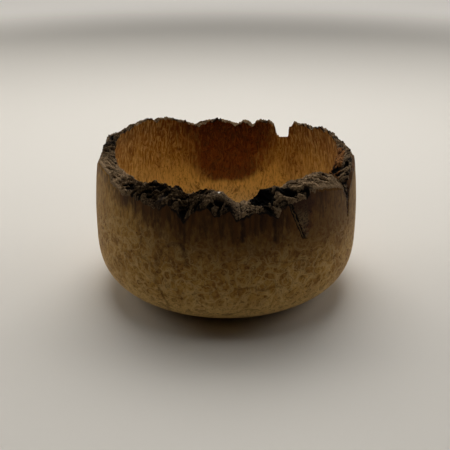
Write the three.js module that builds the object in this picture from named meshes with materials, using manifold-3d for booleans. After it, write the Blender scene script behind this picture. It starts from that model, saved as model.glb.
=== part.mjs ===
// Natural edge bowl, turned from a burl whose bark is left on as the rim.
// Millimetres, +Z up. The origin is the middle of the foot, on the surface that the bowl stands on.
// Angles are in degrees round the bowl, from the front (-Y) towards the right (+X).

import * as THREE from 'three'
import { mergeVertices } from 'three/addons/utils/BufferGeometryUtils.js'
import Module from 'manifold-3d'

const wasm = await Module()
wasm.setup()

// The turned shape, as its profile
const bellyRadius = 90
const bellyHeight = 47
const rimHeight = 91
const rimInset = 3
const footRadius = 48
const outerDepthPower = 3.2
const outerWidthPower = 1.9

// The wall, the floor and the hollow
const wallThickness = 11
const floorThickness = 13
const hollowDepthPower = 2.6
const hollowWidthPower = 2.2

// The shallow recess turned into the foot
const footRingWidth = 14
const recessDepth = 1.6
const recessSlope = 4

// The bark and its fit on the wood
const barkThickness = 3.2
const barkEdgeThickness = 2.8
const barkCrown = 1.2
const barkOuterSetback = 2
const barkInnerSetback = 0.5
const barkGap = 0.3
const cleftGap = 0.6
const cleftMouth = 2.6

// How far the bark's inner crest stands above rimHeight, as [angle, rise]
const crestRises = [
  [0, 0.5], [4, -4], [9, -4.5], [13, -0.5], [16, 3], [22, 4], [25, 2.5], [30, 6], [37, 5], [42, 7],
  [52, 4.5], [58, 1.5], [61, 2], [70, 6], [81, 7.5], [94, 10], [108, 11], [118, 11], [123, 7.5],
  [128, 9], [137, 8.7], [142, 7], [151, 5], [160, 5.8], [165, 2], [169, 4.5], [173, 1.5],
  [178, 3.5], [184, 5], [194, 3.7], [198, 1.5], [201, 4.5], [207, 7], [213, 9.3], [219, 11],
  [223, 10.5], [229, 12.5], [237, 13.2], [244, 12.5], [250, 11.5], [260, 12], [272, 10.5], [285, 7],
  [297, 2.5], [308, 2.5], [316, 0.5], [322, 2], [326, 5], [331, 3.5], [338, 4.5], [342, 0], [348, 2.5],
  [352, 4], [357, 2.5],
]

// The same for the wood's outer lip
const lipRises = [
  [1, -5.5], [5, -11], [8, -7.5], [14, -7], [20, -11], [23, -4], [31, 0.5], [40, -1], [47, -3],
  [55, -6], [61, -11], [65, -7], [72, -1], [85, 2], [93, 0.5], [106, 1], [118, 1.5], [123, -0.5],
  [130, 1], [142, -1], [151, -2], [160, 0], [165, -3.5], [169, -1], [173, -4], [184, -1], [194, -2],
  [198, -4], [207, 1], [219, 4], [229, 4.5], [240, 4.5], [250, 2.5], [257, 2.5], [264, -1], [270, -4],
  [278, -0.5], [285, 3], [302, 1], [305, -3.5], [315, -5], [324, -5], [330, -8], [336, -4.5],
  [340, -6], [344, -12.5], [347, -7.5], [350, -4], [354, -5.5], [357, -8],
]

// The notch where a piece has broken out of the rim, placed where it crosses the middle of the wall
const notchAngle = 146.7
const notchHeading = 172
const notchFall = 25
const notchFloorDrop = 7.4

// Its outline as [distance across, height above its floor], with a small splinter left standing
const notchOutline = [[-6.9, 14], [-4.8, 0], [2.2, 0], [2.9, 1.7], [3.5, 0.4], [4.8, 0.6], [6.6, 14]]

// The bark plates in order round the rim, each with the angle of the cleft where it starts
const barkPlates = [
  { name: 'bark_front_right', cleft: 6 },
  { name: 'bark_right', cleft: 61 },
  { name: 'bark_right_rear', cleft: 92 },
  { name: 'bark_notch_right', cleft: 123 },
  { name: 'bark_notch_left', cleft: notchAngle },
  { name: 'bark_back_lobe', cleft: 165 },
  { name: 'bark_back', cleft: 173 },
  { name: 'bark_back_left', cleft: 198 },
  { name: 'bark_left', cleft: 250 },
  { name: 'bark_front_left', cleft: 316 },
  { name: 'bark_front', cleft: 344 },
]

// Bark that the wood has grown round, as corner points of [degrees from its angle, height below rimHeight]
const ingrownBark = [
  {
    name: 'ingrown_bark_front_right',
    angle: 32,
    depth: 4,
    outline: [[-7.5, -4], [-1, -27.6], [3.1, -26.2], [6.5, -28.9], [9, -4]],
  },
  {
    name: 'ingrown_bark_front_left',
    angle: 344,
    depth: 5,
    outline: [[-2.1, -4], [-0.6, -21], [0.2, -21], [2.1, -4]],
  },
  {
    name: 'ingrown_bark_right',
    angle: 61,
    depth: 5,
    outline: [[-2.8, -4], [-0.4, -27], [0.5, -27], [2.8, -4]],
  },
]

// How finely the round surfaces are divided
const turnSegments = 96
const outerSteps = 9
const hollowSteps = 9
const wallSteps = 3
const widestStation = 4
const rimRings = 3

// Sizes that follow from the ones above
const rimOuterRadius = bellyRadius - rimInset
const rimInnerRadius = rimOuterRadius - wallThickness
const highestRise = Math.max(...crestRises.map(([, rise]) => rise))
const blankTop = rimHeight + highestRise + barkThickness + barkCrown
const cutterTop = blankTop + barkThickness
const cutterInnerRadius = rimInnerRadius - wallThickness / 2
const cutterOuterRadius = bellyRadius + wallThickness / 2

const burlWood = new THREE.MeshStandardMaterial({ color: 0x8a6a42, roughness: 0.55, metalness: 0 })
const bark = new THREE.MeshStandardMaterial({ color: 0x3f3226, roughness: 0.95, metalness: 0 })
const darkBark = new THREE.MeshStandardMaterial({ color: 0x33241a, roughness: 0.9, metalness: 0 })

const radians = THREE.MathUtils.degToRad

// The outside radius of the wall, from the belly up
function outerRadiusAbove(height) {
  const climb = (height - bellyHeight) / (rimHeight - bellyHeight)
  return bellyRadius - rimInset * climb * climb
}

// A rounded corner between a flat and a wall: 0 is on the wall, 1 on the flat
function cornerPoint(turn, width, depth, widthPower, depthPower) {
  const angle = turn * Math.PI / 2
  const across = Math.max(0, Math.cos(angle)) ** (2 / widthPower) * width
  const down = Math.sin(angle) ** (2 / depthPower) * depth
  return [across, down]
}

function outerProfile(trim) {
  const points = []
  for (let i = 0; i <= outerSteps; i += 1) {
    const turn = 1 - i / outerSteps
    const width = bellyRadius - footRadius
    const [across, down] = cornerPoint(turn, width, bellyHeight, outerWidthPower, outerDepthPower)
    points.push(new THREE.Vector2(footRadius + across, bellyHeight - down))
  }
  for (let i = 1; i <= wallSteps; i += 1) {
    const height = THREE.MathUtils.lerp(bellyHeight, blankTop, i / wallSteps)
    points.push(new THREE.Vector2(outerRadiusAbove(height), height))
  }
  points.forEach((point) => { point.x -= trim })
  return points
}

function hollowProfile(trim) {
  const points = []
  for (let i = wallSteps; i >= 1; i -= 1) {
    const height = THREE.MathUtils.lerp(bellyHeight, blankTop, i / wallSteps)
    points.push(new THREE.Vector2(outerRadiusAbove(height) - wallThickness + trim, height))
  }
  const width = bellyRadius - wallThickness + trim
  const depth = bellyHeight - floorThickness
  for (let i = 0; i <= hollowSteps; i += 1) {
    const [across, down] = cornerPoint(i / hollowSteps, width, depth, hollowWidthPower, hollowDepthPower)
    points.push(new THREE.Vector2(across, bellyHeight - down))
  }
  return points
}

function footProfile() {
  const recessRadius = footRadius - footRingWidth
  return [
    new THREE.Vector2(0, recessDepth),
    new THREE.Vector2(recessRadius - recessSlope, recessDepth),
    new THREE.Vector2(recessRadius, 0),
  ]
}

// The blank as it comes off the lathe, before its natural edge is taken into account
function turnedBlank() {
  const profile = [...footProfile(), ...outerProfile(0), ...hollowProfile(0)]
  return solidFrom(turned(profile))
}

// The part of the blank's wall that bark can fill: its faces lie a little inside the wood's
function barkWall() {
  const outside = outerProfile(barkOuterSetback).slice(outerSteps)
  const inside = hollowProfile(barkInnerSetback).slice(0, wallSteps + 1)
  return solidFrom(turned([...outside, ...inside, outside[0].clone()]))
}

function turned(profile) {
  return new THREE.LatheGeometry(profile, turnSegments).rotateX(Math.PI / 2)
}

// A smooth curve through [angle, rise] points round the rim that never overshoots them
function riseAt(controls, angle) {
  const count = controls.length
  const turn = ((angle % 360) + 360) % 360
  let index = controls.findLastIndex(([start]) => start <= turn)
  if (index < 0) {
    index = count - 1
  }
  const at = (offset) => {
    const wrapped = (index + offset + count) % count
    const laps = Math.floor((index + offset) / count)
    return [controls[wrapped][0] + 360 * laps, controls[wrapped][1]]
  }
  const [before, start, end, after] = [at(-1), at(0), at(1), at(2)]
  const local = turn < start[0] ? turn + 360 : turn
  const span = end[0] - start[0]
  const startSlope = easedSlope(before, start, end)
  const endSlope = easedSlope(start, end, after)
  const s = (local - start[0]) / span
  const fromStart = start[1] * (1 + 2 * s) + startSlope * span * s
  const fromEnd = end[1] * (3 - 2 * s) + endSlope * span * (s - 1)
  return fromStart * (1 - s) * (1 - s) + fromEnd * s * s
}

function easedSlope(before, here, after) {
  const rising = (here[1] - before[1]) / (here[0] - before[0])
  const next = (after[1] - here[1]) / (after[0] - here[0])
  return rising * next <= 0 ? 0 : 2 * rising * next / (rising + next)
}

// The burl's own surface under its bark, sloping from the inner crest down to the outer lip
function woodTop(angle, radius) {
  const share = (radius - rimInnerRadius) / (rimOuterRadius - rimInnerRadius)
  const inner = riseAt(crestRises, angle) - barkThickness
  const outer = riseAt(lipRises, angle)
  return rimHeight + THREE.MathUtils.lerp(inner, outer, share)
}

// The weathered face of the bark, crowned across the wall
function barkTop(angle, radius) {
  const share = (radius - rimInnerRadius) / (rimOuterRadius - rimInnerRadius)
  const inside = THREE.MathUtils.clamp(share, 0, 1)
  const thickness = THREE.MathUtils.lerp(barkThickness, barkEdgeThickness, inside)
  return woodTop(angle, radius) + thickness + barkCrown * 4 * inside * (1 - inside)
}

// Every angle at which the rim's outline is worked out, twice round
function rimStations() {
  const chosen = [...crestRises, ...lipRises].map(([angle]) => angle)
  const clefts = barkPlates.map(({ cleft }) => cleft)
  const once = [...new Set([0, ...chosen, ...clefts])]
  const corners = [...once, ...once.map((angle) => angle + 360), 720].sort((a, b) => a - b)
  const stations = [0]
  for (let i = 1; i < corners.length; i += 1) {
    const gap = corners[i] - corners[i - 1]
    const parts = Math.ceil(gap / widestStation)
    for (let k = 1; k <= parts; k += 1) {
      stations.push(corners[i - 1] + gap * k / parts)
    }
  }
  return stations
}

function stationsBetween(from, to) {
  return rimStations().filter((angle) => angle >= from && angle <= to)
}

function ringRadii() {
  const radii = [cutterInnerRadius]
  for (let i = 0; i <= rimRings; i += 1) {
    radii.push(THREE.MathUtils.lerp(rimInnerRadius, rimOuterRadius, i / rimRings))
  }
  radii.push(cutterOuterRadius)
  return radii
}

// A closed layer over the rim, between two surfaces given as height(angle, radius)
function rimLayer(stations, lower, upper, closed) {
  const radii = ringRadii()
  const rows = radii.length
  const columns = closed ? stations.slice(0, -1) : stations
  const positions = []
  for (const surface of [lower, upper]) {
    for (const angle of columns) {
      for (const radius of radii) {
        const x = radius * Math.sin(radians(angle))
        const y = -radius * Math.cos(radians(angle))
        positions.push(x, y, surface(angle, radius))
      }
    }
  }
  const top = columns.length * rows
  const at = (column, row, offset) => (column % columns.length) * rows + row + offset
  const triangles = []
  const quad = (a, b, c, d) => triangles.push(a, b, c, a, c, d)
  for (let i = 0; i < stations.length - 1; i += 1) {
    for (let j = 0; j < rows - 1; j += 1) {
      quad(at(i, j, 0), at(i + 1, j, 0), at(i + 1, j + 1, 0), at(i, j + 1, 0))
      quad(at(i, j, top), at(i, j + 1, top), at(i + 1, j + 1, top), at(i + 1, j, top))
    }
    quad(at(i, 0, 0), at(i, 0, top), at(i + 1, 0, top), at(i + 1, 0, 0))
    quad(at(i, rows - 1, 0), at(i + 1, rows - 1, 0), at(i + 1, rows - 1, top), at(i, rows - 1, top))
  }
  if (!closed) {
    const last = columns.length - 1
    for (let j = 0; j < rows - 1; j += 1) {
      quad(at(0, j, 0), at(0, j + 1, 0), at(0, j + 1, top), at(0, j, top))
      quad(at(last, j, 0), at(last, j, top), at(last, j + 1, top), at(last, j + 1, 0))
    }
  }
  const geometry = new THREE.BufferGeometry()
  geometry.setAttribute('position', new THREE.Float32BufferAttribute(positions, 3))
  geometry.setIndex(triangles)
  return geometry
}

// A flat outline of [across, height] points, pushed outwards through the wall from a radius
function radialPrism(outline, angle, radius) {
  return prism(outline, cutterOuterRadius - radius).translate(0, -radius, 0).rotateZ(radians(angle))
}

// The same outline pushed towards the front, with its heights up the Z axis
function prism(outline, depth) {
  const shape = new THREE.Shape(outline.map(([across, height]) => new THREE.Vector2(across, height)))
  return new THREE.ExtrudeGeometry(shape, { depth, bevelEnabled: false }).rotateX(Math.PI / 2)
}

// The same outline with each side moved in by a clearance; its corners run counter-clockwise
function insetOutline(outline, clearance) {
  const count = outline.length
  const sides = outline.map(([x, y], i) => {
    const [nextX, nextY] = outline[(i + 1) % count]
    const length = Math.hypot(nextX - x, nextY - y)
    const normal = [-(nextY - y) / length, (nextX - x) / length]
    return { normal, offset: normal[0] * x + normal[1] * y + clearance }
  })
  return sides.map((side, i) => {
    const last = sides[(i + count - 1) % count]
    const cross = last.normal[0] * side.normal[1] - last.normal[1] * side.normal[0]
    const x = (last.offset * side.normal[1] - side.offset * last.normal[1]) / cross
    const y = (last.normal[0] * side.offset - side.normal[0] * last.offset) / cross
    return [x, y]
  })
}

function solidFrom(geometry) {
  geometry.deleteAttribute('normal')
  geometry.deleteAttribute('uv')
  const merged = mergeVertices(geometry)
  const corners = merged.index.array
  const triangles = []
  for (let i = 0; i < corners.length; i += 3) {
    const [a, b, c] = [corners[i], corners[i + 1], corners[i + 2]]
    if (a !== b && b !== c && c !== a) {
      triangles.push(a, b, c)
    }
  }
  return new wasm.Manifold(new wasm.Mesh({
    numProp: 3,
    vertProperties: new Float32Array(merged.attributes.position.array),
    triVerts: new Uint32Array(triangles),
  }))
}

function meshFrom(solid, name, material) {
  const { vertProperties, triVerts } = solid.getMesh()
  const geometry = new THREE.BufferGeometry()
  geometry.setAttribute('position', new THREE.BufferAttribute(vertProperties, 3))
  geometry.setIndex(new THREE.BufferAttribute(triVerts, 1))
  geometry.computeVertexNormals()
  const mesh = new THREE.Mesh(geometry, material)
  mesh.name = name
  return mesh
}

// Everything that the burl never filled above its own surface
function spaceAboveWood() {
  return solidFrom(rimLayer(stationsBetween(0, 360), woodTop, () => cutterTop, true))
}

// The break runs aslant through the wall, and its floor falls away outwards
function notch() {
  const reach = 2 * wallThickness
  const [left] = notchOutline[0]
  const [right] = notchOutline[notchOutline.length - 1]
  const outline = [[left, cutterTop], ...notchOutline, [right, cutterTop]]
  const middleRadius = (rimInnerRadius + rimOuterRadius) / 2
  const geometry = prism(outline, 2 * reach)
    .translate(0, reach, 0)
    .rotateX(radians(notchFall))
    .rotateZ(radians(notchHeading - notchAngle))
    .translate(0, -middleRadius, rimHeight - notchFloorDrop)
    .rotateZ(radians(notchAngle))
  return solidFrom(geometry)
}

function ingrownOutline({ outline }) {
  return outline.map(([degrees, drop]) => [radians(degrees) * rimOuterRadius, rimHeight + drop])
}

function ingrownPocket(piece) {
  return solidFrom(radialPrism(ingrownOutline(piece), piece.angle, rimOuterRadius - piece.depth))
}

function ingrownPiece(piece, blank, above) {
  const outline = insetOutline(ingrownOutline(piece), barkGap)
  const plug = solidFrom(radialPrism(outline, piece.angle, rimOuterRadius - piece.depth + barkGap))
  return blank.intersect(plug).subtract(above)
}

// The open V between two plates, narrow at the lip and wide at the crest
function cleftAt(angle) {
  const bottom = rimHeight + riseAt(lipRises, angle) - barkThickness
  return solidFrom(radialPrism([
    [-cleftGap / 2, bottom],
    [cleftGap / 2, bottom],
    [cleftMouth / 2, cutterTop],
    [-cleftMouth / 2, cutterTop],
  ], angle, cutterInnerRadius))
}

function barkPlate(index, wall, notchSpace) {
  const from = barkPlates[index].cleft
  const next = barkPlates[(index + 1) % barkPlates.length].cleft
  const to = next > from ? next : next + 360
  const underside = (angle, radius) => woodTop(angle, radius) + barkGap
  const layer = solidFrom(rimLayer(stationsBetween(from, to), underside, barkTop, false))
  const cuts = [cleftAt(from), cleftAt(to), notchSpace]
  return cuts.reduce((solid, cut) => solid.subtract(cut), wall.intersect(layer))
}

function buildBowl() {
  const bowl = new THREE.Group()
  const blank = turnedBlank()
  const above = spaceAboveWood()
  const notchSpace = notch()
  const pockets = ingrownBark.map(ingrownPocket)
  const wood = [above, notchSpace, ...pockets].reduce((solid, cut) => solid.subtract(cut), blank)
  bowl.add(meshFrom(wood, 'turned_bowl', burlWood))
  const wall = barkWall()
  barkPlates.forEach(({ name }, index) => {
    bowl.add(meshFrom(barkPlate(index, wall, notchSpace), name, bark))
  })
  for (const piece of ingrownBark) {
    bowl.add(meshFrom(ingrownPiece(piece, blank, above), piece.name, darkBark))
  }
  return bowl
}

export default buildBowl()
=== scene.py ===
"""The looks of the natural edge burl bowl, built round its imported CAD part.

Sizes are in millimetres, as in the CAD part, and angles in degrees round the bowl from the
front (-Y) towards the right (+X). Meshes are turned into metres as they are made.
"""

import math

import bpy
import numpy as np
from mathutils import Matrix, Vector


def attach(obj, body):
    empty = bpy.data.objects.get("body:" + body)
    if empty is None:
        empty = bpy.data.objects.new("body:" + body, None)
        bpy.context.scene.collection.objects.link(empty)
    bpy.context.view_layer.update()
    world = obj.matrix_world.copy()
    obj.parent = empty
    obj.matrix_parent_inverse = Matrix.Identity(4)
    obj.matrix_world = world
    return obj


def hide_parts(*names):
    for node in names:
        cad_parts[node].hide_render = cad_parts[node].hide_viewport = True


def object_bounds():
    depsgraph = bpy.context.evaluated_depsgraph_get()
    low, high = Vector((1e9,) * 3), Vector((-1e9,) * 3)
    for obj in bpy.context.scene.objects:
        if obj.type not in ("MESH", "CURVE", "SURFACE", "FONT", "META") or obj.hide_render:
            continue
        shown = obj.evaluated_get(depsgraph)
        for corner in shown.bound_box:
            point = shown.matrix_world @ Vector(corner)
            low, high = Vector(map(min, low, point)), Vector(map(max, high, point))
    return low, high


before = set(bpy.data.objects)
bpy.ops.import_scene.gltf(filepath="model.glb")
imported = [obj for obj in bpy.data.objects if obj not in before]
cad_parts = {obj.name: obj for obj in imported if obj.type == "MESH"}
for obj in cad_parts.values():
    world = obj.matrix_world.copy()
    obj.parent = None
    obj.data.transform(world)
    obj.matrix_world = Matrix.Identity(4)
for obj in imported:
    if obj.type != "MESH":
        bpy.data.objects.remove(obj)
cad_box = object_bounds()

MM = 0.001

# The turned shape, with the CAD part's sizes
BELLY_RADIUS = 90
BELLY_HEIGHT = 47
RIM_HEIGHT = 91
RIM_INSET = 3
FOOT_RADIUS = 48
OUTER_DEPTH_POWER = 3.2
OUTER_WIDTH_POWER = 1.9
WALL = 11
FLOOR = 13
HOLLOW_DEPTH_POWER = 2.6
HOLLOW_WIDTH_POWER = 2.2
FOOT_RING = 14
RECESS_DEPTH = 1.6
RECESS_SLOPE = 4

# Below this height the turned shape is smooth all round
SHOULDER = 70

# The bark, with the CAD part's sizes
BARK = 3.2
BARK_EDGE = 2.8
BARK_CROWN = 1.2
REST_GAP = 0.03

# How much longer the rim's sloping face is than the wall is thick
FACE_SLOPE = 1.25

# How far the bark's inner crest stands above RIM_HEIGHT, as (angle, rise)
CREST = [
    (0, 0.5), (3.5, -3), (9, -3.4), (13, -0.5), (16, 3), (22, 4), (25, 2.5), (30, 6), (37, 5), (42, 7),
    (52, 4.5), (58, 1.5), (61, 2), (70, 6), (81, 7.5), (94, 10), (108, 11), (118, 11), (123, 7.5),
    (128, 8.8), (137, 9), (142, 7.4), (151, 5), (160, 5.8), (165, 2), (169, 4.5), (173, 1.5),
    (178, 3.5), (184, 5), (194, 3.7), (198, 1.5), (201, 4.5), (207, 7), (213, 9.3), (219, 11),
    (223, 10.5), (229, 12.5), (237, 13.2), (244, 12.5), (250, 11.5), (260, 12), (272, 10.5), (285, 7),
    (297, 2.5), (308, 2.5), (316, 0.5), (322, 2), (326, 5), (331, 3.5), (338, 4.5), (342, 0),
    (348, 2.5), (352, 4), (357, 2.5),
]

# The same for the wood's outer lip
LIP = [
    (1, -5.5), (5, -11), (8, -7.5), (14, -7), (20, -10.5), (23, -5), (28, -4), (32.5, -3), (34.5, 0),
    (40, -1), (47, -3), (55, -6), (61, -11), (65, -7), (72, -1), (85, 2), (93, 0.5), (106, 1), (118, 1.5),
    (123, -0.5), (130, 1), (142, -1), (151, -2), (160, 0), (165, -3.5), (169, -1), (173, -4), (184, -1),
    (194, -2), (198, -4), (207, 1), (219, 4), (229, 4.5), (240, 4.5), (250, 3), (257, 2.5), (264, -0.5),
    (270, -3), (278, -2), (283, 0.5), (288, 2.5), (302, 1), (305, -3.5), (315, -5), (324, -5), (330, -8),
    (336, -4.5), (340, -6), (344, -12.5), (347, -7.5), (350, -4), (354, -5.5), (357, -8),
]

# How much thicker than elsewhere the bark is at its outer edge, as (angle, millimetres)
SWELL = [(0, 0), (252, 0), (258, 3), (264, 6), (271, 6.4), (277, 5), (282, 2), (287, 0)]

# The notch, where the CAD part has it, with its shoulders worn round; NOTCH_ENDS says how far across from
# its middle a plate starts (1) or stops (-1), and NOTCH_OUTLINE holds (across, height)
NOTCH_ANGLE = 146.7
NOTCH_HEADING = 172
NOTCH_FALL = 25
NOTCH_DROP = 7.4
NOTCH_ENDS = {1: 6.2, -1: -6.4}
NOTCH_OUTLINE = [
    (-13, 13), (-10, 10.2), (-8, 9.4), (-6.4, 9.1), (-4.9, 8), (-3.9, 4.4), (-3.3, 0), (2.8, 0.2),
    (4.4, 0.4), (4.9, 1.9), (5.3, 0.8), (6.2, 2.6), (7.2, 5.6), (8.8, 8), (10.5, 9.4), (13, 13),
]

# The bark plates in order, each with the angle of the cleft where it starts
PLATES = [
    ("bark_front_right", 6), ("bark_right", 61), ("bark_right_rear", 92), ("bark_notch_right", 123),
    ("bark_notch_left", NOTCH_ANGLE), ("bark_back_lobe", 165), ("bark_back", 173),
    ("bark_back_left", 198), ("bark_left", 250), ("bark_front_left", 316), ("bark_front", 344),
]

# Bark grown into the wall: node, middle angle, depth, whether it fades out downwards, and its left and
# right edges from top to foot as (degrees from the middle, height from RIM_HEIGHT)
INGROWN = [
    ("ingrown_bark_front_right", 32, 4, False, [(-7.5, -4), (-1, -27.6)], [(9, -4), (6.5, -28.9)]),
    ("ingrown_bark_front_left", 344, 5, True, [(-2.1, -4), (-0.6, -21)], [(2.1, -4), (0.2, -21)]),
    ("ingrown_bark_right", 61, 5, False, [(-2.8, -4), (-0.4, -27)], [(2.8, -4), (0.5, -27)]),
]

# Hollows in the bark, painted black as shade in them: (angle, share across the wall, half length, half width,
# depth, slant)
HOLLOWS = [
    (-2.9, 0.66, 3.2, 2.6, 4.6, 0), (15.2, 0.48, 8.2, 5.4, 4.4, 0.15),
    (26.4, 0.62, 5.4, 3, 3.6, -0.5), (34, 0.98, 1.5, 2, 3, -0.2),
    (-30.9, 0.45, 4.8, 1.2, 3.6, 1.05), (-23.2, 0.42, 5.8, 1.1, 3.2, 1),
    (-19.1, 0.62, 4, 0.8, 2.2, 0.9), (-13.8, 0.68, 1.6, 1.2, 2.4, 0),
    (-15.4, 0.33, 1.3, 1, 2, 0), (-11.4, 0.95, 1.5, 1.1, 2.2, 0.3),
    (-8.6, 0.48, 2.8, 1.5, 2.6, 0.8), (-73.5, 0.4, 2, 2.6, 3, 0),
    (60.5, 0.72, 1.3, 4.6, 3.4, 0.2), (72.3, 0.72, 2.6, 2, 3.4, -0.3),
    (84, 0.55, 2, 1.2, 2.6, -0.4), (-80, 0.75, 3, 1.3, 2.6, 0.3),
    (-88, 0.35, 2.4, 1.2, 2.4, -0.4), (-97, 0.6, 3.4, 1.2, 2.6, 0.3),
    (52, 0.4, 3.6, 0.7, 2.2, -0.5),
]

# Where the bark is painted black as shadow without being hollow, in the same terms
SHADE = [
    (14.8, 0.24, 8.6, 6.2, 1, 0.2), (24.6, 0.42, 5, 3, 1, -0.2),
    (-22, 0.06, 5, 2.2, 1, 0.3), (-11, 0.12, 4.8, 2.6, 0.9, 0),
    (-29.5, 0.3, 5.5, 2.6, 0.6, 1),
]

# Smooth rounded knobs in the bark: angle, share across the wall, radius, height
KNOBS = [(-2.3, 0.42, 5.2, 1.9), (-26, 0.9, 3, 0.8), (70, 0.4, 3.4, 1)]

# The pale speck on the knob: angle, share across the wall, height
SPECK = (-3, 0.28, 94)

# How far round the rim the ridges' slant has run, as (angle, degrees)
SLANT = [(0, 0), (180, -90), (270, -90), (360, 0)]

# How craggy the bark is, as (angle, strength)
CRAG = [
    (0, 0.6), (4, 0.25), (9, 0.2), (12, 0.3), (15, 0.6), (20, 0.4), (28, 0.45), (36, 0.45), (52, 0.45),
    (62, 0.65), (90, 0.6), (120, 0.5), (180, 0.35), (240, 0.4), (258, 0.8), (276, 0.9), (290, 0.5),
    (305, 0.4), (320, 1.1), (340, 1.2), (352, 0.8),
]

# The ridges in the bark, wide and narrow: width, length, height
RIDGES = [(2.3, 9.5, 2.7), (1.15, 4.6, 1.4)]

# How pale the bark's weathered face is, as (angle, share of the pale colour)
PALE = [
    (0, 0.15), (4, 0.35), (8, 0.75), (16, 0.35), (30, 0.6), (42, 0.85), (50, 0.7), (62, 0.4), (78, 0.5),
    (100, 0.6), (180, 0.7), (240, 0.45), (258, 0.2), (276, 0.3), (290, 0.8), (300, 0.95), (311, 0.8),
    (320, 0.05), (338, 0), (350, 0.05),
]

# How far the dark stain reaches down from the bark: outside, as (angle, millimetres), and inside
STAIN = [
    (0, 25), (12, 25), (22, 22), (28, 20), (34, 22), (40, 19), (48, 11), (56, 3.5), (76, 2.5), (100, 3.5),
    (180, 4), (260, 4), (285, 6), (300, 8), (312, 10), (324, 17), (344, 26), (352, 25),
]
INSIDE_STAIN = 8

# How far the bark's outer edge stands back from the turned outside, as (angle, millimetres)
SETBACK = [
    (0, 0), (50, 0), (58, 0.4), (66, 1.6), (100, 1.7), (180, 1.7), (240, 1.9), (262, 2.6), (280, 2.8),
    (285, 0.1), (300, 0),
]

# Lines in the outside's figure: width, darkness, and points as (angle, height)
STROKES = [
    (1, 0.6, [(-35.7, 50.3), (-32, 48.5), (-27.9, 42.8)]),
    (1.5, 0.6, [(-28.1, 52.6), (-27.9, 44), (-28.6, 36.7)]),
    (1, 0.7, [(-29.1, 35.8), (-26.5, 28), (-25, 19.3), (-27.4, 7.9)]),
    (0.9, 0.55, [(-27, 49), (-24.9, 60.2), (-21.8, 63), (-19.3, 64.3), (-17.3, 62.8)]),
    (1.3, 0.65, [(-17.3, 62.8), (-16.1, 58.6), (-15.1, 50.9)]),
    (0.6, 0.55, [(3.1, 36.3), (5, 35.7), (8.1, 36.8), (10.8, 36.9), (11.9, 34.8), (15.7, 33.6)]),
    (0.6, 0.55, [(15.7, 33.6), (19, 35.1), (22.8, 34.4)]),
    (0.5, 0.5, [(21.1, 50.9), (26.3, 50), (30, 50.4), (32.9, 48.9)]),
    (0.5, 0.6, [(-1.7, 14), (3.8, 16.4), (9.1, 19.9), (13.4, 18.4), (17.1, 12.8)]),
    (1.1, 0.95, [(6.4, 85), (6.4, 76.8), (6.5, 67)]),
    (1.1, 0.9, [(18.7, 84), (18.9, 75), (18.9, 67)]),
    (0.9, 0.75, [(13.7, 82), (13.7, 72)]),
    (0.7, 0.3, [(-16.1, 74), (-16.1, 69.4), (-16, 65)]),
]

# Black pin knots on the outside, as (angle, height)
PINS = [
    (11, 49.7), (12.6, 14.6), (43.3, 78.6), (48.3, 44.1), (-37.5, 65.1), (-35.2, 65.1), (4.5, 69.5),
    (24.6, 61.7), (72, 38), (118, 55), (163, 30), (205, 58), (251, 41),
]

# The dark patch inside at the back: its left edge as (height, angle)
PATCH_EDGE = [(40, 183), (44, 187), (50, 192), (64, 199), (80, 198), (92, 202), (108, 203)]

# The camera: its focal length for a 36 mm sensor, its place in metres and its turn in degrees
CAMERA_LENS = 58.69
CAMERA_PLACE = (0, -0.47996, 0.24434)
CAMERA_TURN = (66.9255, 0, 0.0888)

# The lamps, in metres: place, width, length, power and colour; and the background's colour
LAMP_TARGET = (0, 0, 0.06)
LAMPS = {
    "overhead": ((0, 0.1, 1.3), 0.6, 0.6, 3.1, (1, 0.985, 0.95)),
    "behind_high": ((0, 0.8, 1.2), 1.5, 1, 5, (1, 0.985, 0.96)),
    "behind_low": ((0, 0.45, 0.8), 0.8, 0.5, 4.4, (1, 0.985, 0.96)),
    "left": ((-1.25, 0.6, 0.7), 1, 1, 6.4, (1, 0.97, 0.91)),
    "right": ((1.25, 0.5, 0.7), 1, 1, 5.5, (1, 0.98, 0.95)),
}
HORIZON = (178, 174, 168)

# The floor's half width, where behind the bowl it bends up, the bend's radius, and the backdrop's top
STAGE_HALF = 6000
BEND_START = 1600
BEND_RADIUS = 800
BACKDROP_TOP = 3000

# How finely the wood is divided, in degrees, and the plates, in millimetres
WOOD_STEP = 0.53
NOTCH_STEP = 0.13
NOTCH_REACH = 9.5
PLATE_STEP = 0.23

RIM_OUTER = BELLY_RADIUS - RIM_INSET
RIM_INNER = RIM_OUTER - WALL
RIM_MIDDLE = (RIM_OUTER + RIM_INNER) / 2
MM_PER_DEGREE = math.radians(1) * RIM_MIDDLE


def hashed(cell, seed):
    """One random 32-bit number for each lattice point."""
    code = np.uint32(0)
    for axis, factor in enumerate((0x8DA6B343, 0xD8163841, 0xCB1AB31F)):
        code = code ^ (cell[..., axis].astype(np.uint32) * np.uint32(factor))
    code += np.uint32((seed * 0x9E3779B9) & 0xFFFFFFFF)
    for shift, factor in ((15, 0x2C1B3C6D), (12, 0x297A2D39)):
        code ^= code >> np.uint32(shift)
        code *= np.uint32(factor)
    return code ^ (code >> np.uint32(15))


def third(code, axis):
    """Ten bits of a random number, 0 to 1023, for one direction."""
    return (code >> np.uint32(10 * axis)) & np.uint32(1023)


def noise(points, size, seed):
    """Smooth random values, about -1 to 1, that change over the given size."""
    scaled = points / size
    cell = np.floor(scaled).astype(np.int64)
    part = scaled - cell
    ease = part * part * part * (part * (part * 6 - 15) + 10)
    total = np.zeros(points.shape[:-1])
    for corner in range(8):
        step = np.array([corner & 1, corner >> 1 & 1, corner >> 2])
        code = hashed(cell + step, seed)
        away = part - step
        value = 0
        for axis in range(3):
            value = value + (third(code, axis) / 511.5 - 1) * away[..., axis]
        total += np.prod(np.where(step, ease, 1 - ease), axis=-1) * value
    return total * 1.5


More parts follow.
